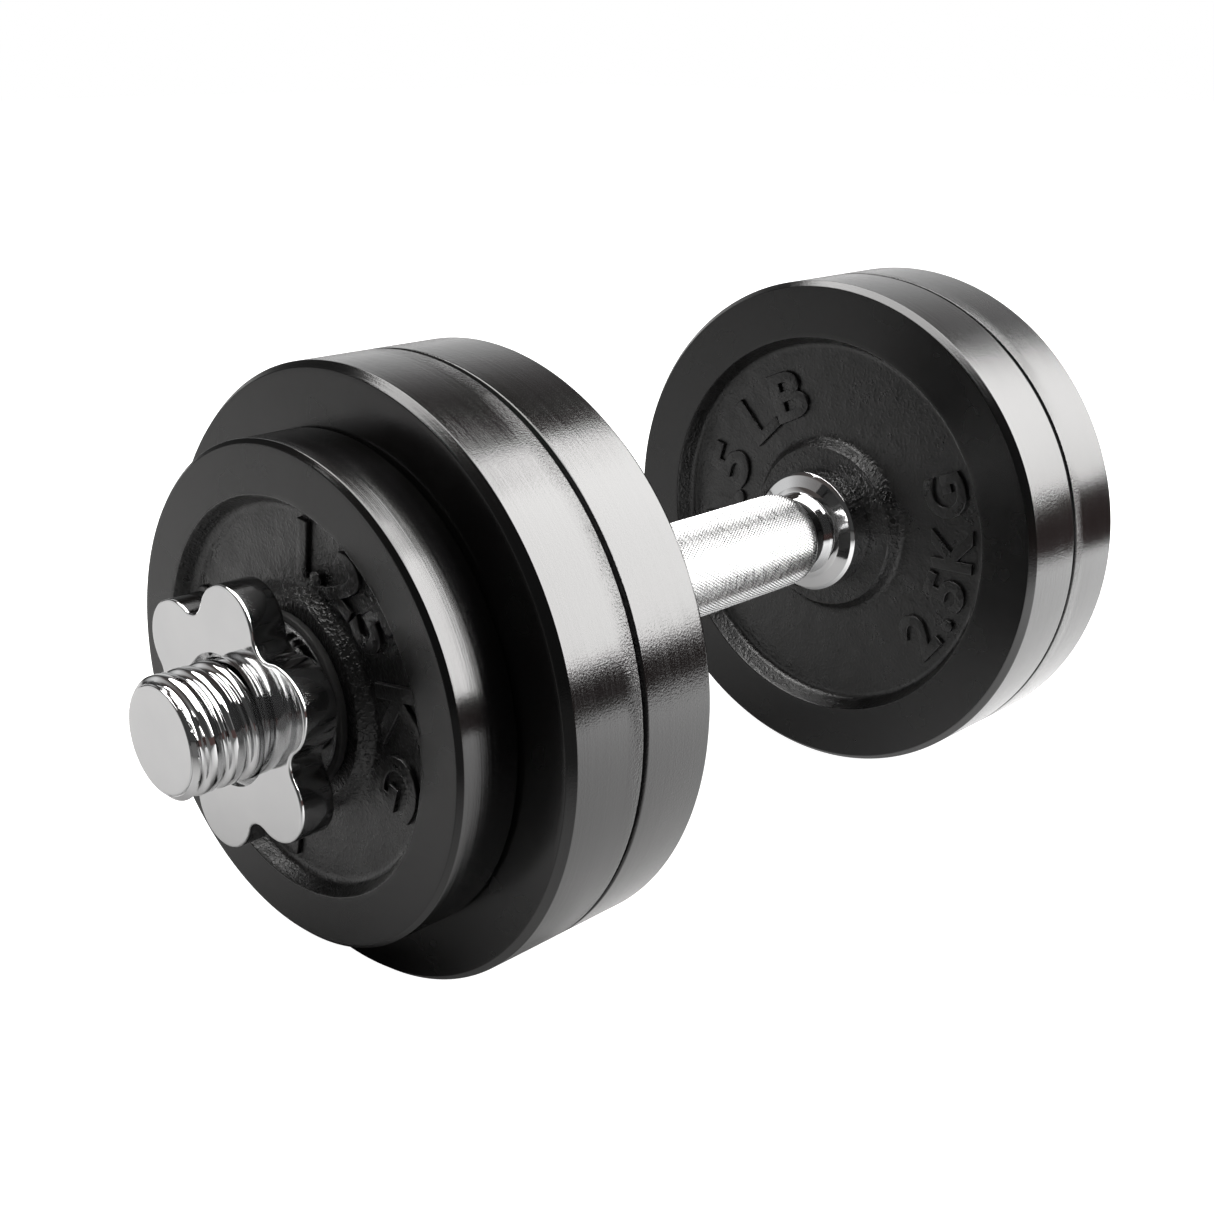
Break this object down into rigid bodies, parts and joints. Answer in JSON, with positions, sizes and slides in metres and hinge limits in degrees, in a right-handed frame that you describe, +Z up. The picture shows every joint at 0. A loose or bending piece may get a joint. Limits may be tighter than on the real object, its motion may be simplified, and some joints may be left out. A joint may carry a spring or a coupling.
{
  "type": "adjustable dumbbell",
  "caption": "Short chromed bar with a knurled grip, cast disc plates on both ends held against collars by lobed screw-on nuts with rubber rings.",
  "frame": {"origin": "middle of the bar, on its axis", "axes": "+X along the bar to the right end, +Z up, +Y to the back"},
  "size_m": [0.35, 0.1606, 0.1606],
  "materials": {
    "bar_chrome": "bright chrome, knurled on the grip",
    "nut_chrome": "bright chrome",
    "plate_enamel": "black enamel, turned on the rim and rough cast in the recesses",
    "ring_rubber": "matt black rubber"
  },
  "bodies": {
    "bar": {"bar": "bar_chrome", "left_inner_collar": "bar_chrome", "right_inner_collar": "bar_chrome"},
    "left_inner_plate": {"left_inner_large_plate": "plate_enamel"},
    "left_outer_plate": {"left_outer_large_plate": "plate_enamel"},
    "left_small_plate": {"left_small_plate": "plate_enamel"},
    "left_ring": {"left_rubber_ring": "ring_rubber"},
    "left_nut": {"left_star_nut": "nut_chrome"},
    "right_inner_plate": {"right_inner_large_plate": "plate_enamel"},
    "right_outer_plate": {"right_outer_large_plate": "plate_enamel"},
    "right_small_plate": {"right_small_plate": "plate_enamel"},
    "right_ring": {"right_rubber_ring": "ring_rubber"},
    "right_nut": {"right_star_nut": "nut_chrome"}
  },
  "joints": [
    {"name": "left_inner_plate_slide", "type": "slide", "parent": "bar", "child": "left_inner_plate", "axis": [-1, 0, 0], "range_m": [0, 0.108]},
    {"name": "left_outer_plate_slide", "type": "slide", "parent": "left_inner_plate", "child": "left_outer_plate", "axis": [-1, 0, 0], "range_m": [0, 0.084]},
    {"name": "left_small_plate_slide", "type": "slide", "parent": "left_outer_plate", "child": "left_small_plate", "axis": [-1, 0, 0], "range_m": [0, 0.06]},
    {"name": "left_nut_travel", "type": "slide", "parent": "left_small_plate", "child": "left_ring", "axis": [-1, 0, 0], "range_m": [0, 0.0421]},
    {"name": "left_nut_turn", "type": "hinge", "parent": "left_ring", "child": "left_nut", "pos_m": [-0.14885, 0, 0], "axis": [-1, 0, 0], "range_deg": [0, 2520]},
    {"name": "right_inner_plate_slide", "type": "slide", "parent": "bar", "child": "right_inner_plate", "axis": [1, 0, 0], "range_m": [0, 0.108]},
    {"name": "right_outer_plate_slide", "type": "slide", "parent": "right_inner_plate", "child": "right_outer_plate", "axis": [1, 0, 0], "range_m": [0, 0.084]},
    {"name": "right_small_plate_slide", "type": "slide", "parent": "right_outer_plate", "child": "right_small_plate", "axis": [1, 0, 0], "range_m": [0, 0.06]},
    {"name": "right_nut_travel", "type": "slide", "parent": "right_small_plate", "child": "right_ring", "axis": [1, 0, 0], "range_m": [0, 0.0421]},
    {"name": "right_nut_turn", "type": "hinge", "parent": "right_ring", "child": "right_nut", "pos_m": [0.14885, 0, 0], "axis": [1, 0, 0], "range_deg": [0, 2520]}
  ],
  "couplings": [
    {"joint": "left_nut_travel", "follows": "left_nut_turn", "m_per_rad": 0.00095493},
    {"joint": "right_nut_travel", "follows": "right_nut_turn", "m_per_rad": 0.00095493}
  ]
}
